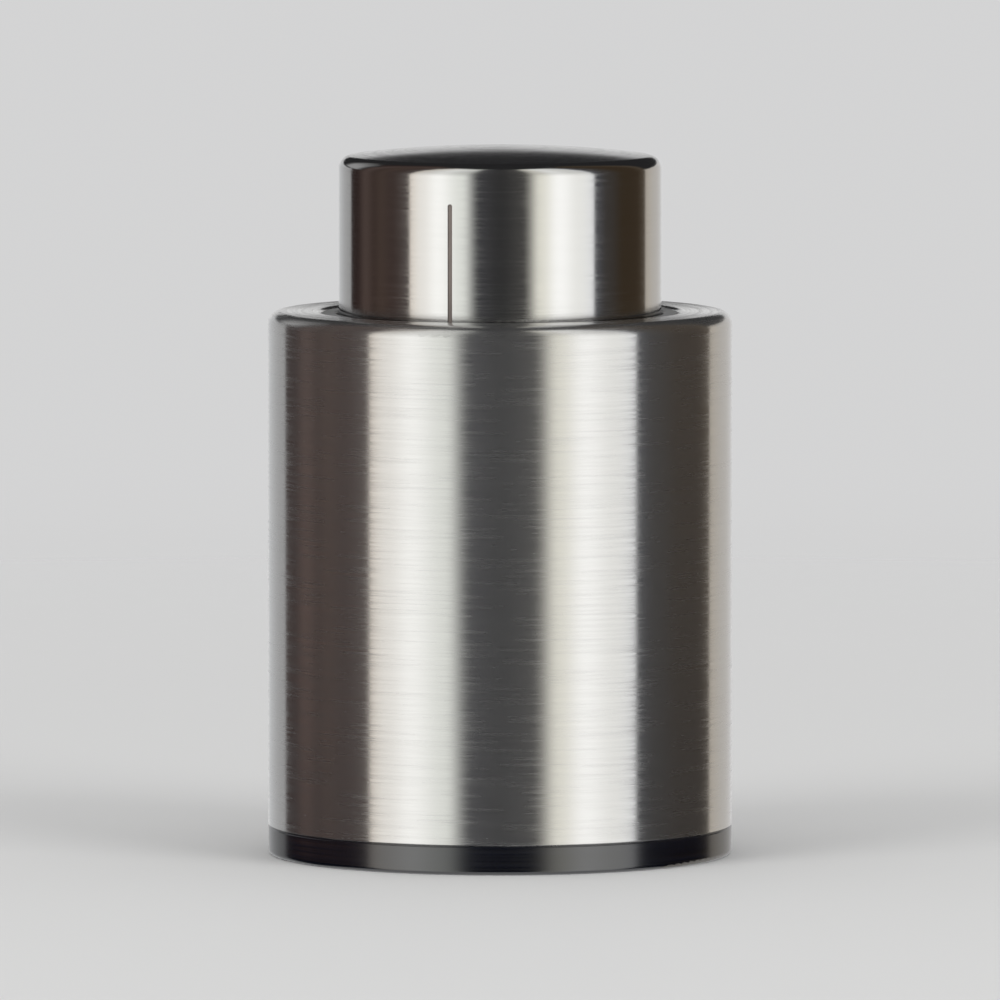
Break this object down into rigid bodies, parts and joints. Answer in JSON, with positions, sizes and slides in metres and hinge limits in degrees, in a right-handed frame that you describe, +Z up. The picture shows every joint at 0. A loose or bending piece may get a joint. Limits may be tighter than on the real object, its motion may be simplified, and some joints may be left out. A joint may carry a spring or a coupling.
{
  "type": "vacuum wine stopper",
  "caption": "Bottle stopper with a brushed steel sleeve, a black base ring and a push button pump that draws air out through a lipped silicone plug.",
  "frame": {"origin": "centre of the base ring's flat underside", "axes": "+Z up the stopper's axis towards the button, -Y towards the front, +X to its right"},
  "size_m": [0.045, 0.045, 0.0687],
  "materials": {
    "sleeve_steel": "fine brushing round the sleeve, satin",
    "button_steel": "polished, with a faint round grain",
    "ring_black": "black, half gloss, fine turned lines",
    "collar_black": "black, satin",
    "housing_black": "black, fine moulded grain",
    "plug_silicone": "dark grey silicone, matt",
    "gasket_silicone": "dark grey silicone, matt",
    "black_rubber": "black rubber",
    "valve_silicone": "pale translucent silicone",
    "barrel_white": "natural white acetal, smooth",
    "screw_steel": "zinc plated",
    "spring_steel": "drawn stainless wire"
  },
  "bodies": {
    "housing": {"outer_sleeve": "sleeve_steel", "base_ring": "ring_black", "socket_body": "housing_black", "guide_collar": "collar_black", "collar_screws": "screw_steel", "stop_washer": "black_rubber", "pump_barrel": "barrel_white", "barrel_screws": "screw_steel", "barrel_o_ring": "black_rubber", "valve_seat": "barrel_white", "inlet_valve": "valve_silicone", "spring_seat": "screw_steel", "return_spring": "spring_steel", "bottle_plug": "plug_silicone", "mouth_gasket": "gasket_silicone"},
    "button": {"button_shell": "button_steel", "button_core": "housing_black", "piston": "barrel_white", "piston_seal": "valve_silicone", "exhaust_flap": "valve_silicone", "piston_screw": "screw_steel"}
  },
  "joints": [
    {"name": "button_press", "type": "slide", "parent": "housing", "child": "button", "axis": [0, 0, -1], "range_m": [0, 0.011], "stiffness_N_per_m": 900, "springref_m": -0.008, "deforming": ["return_spring"]}
  ]
}
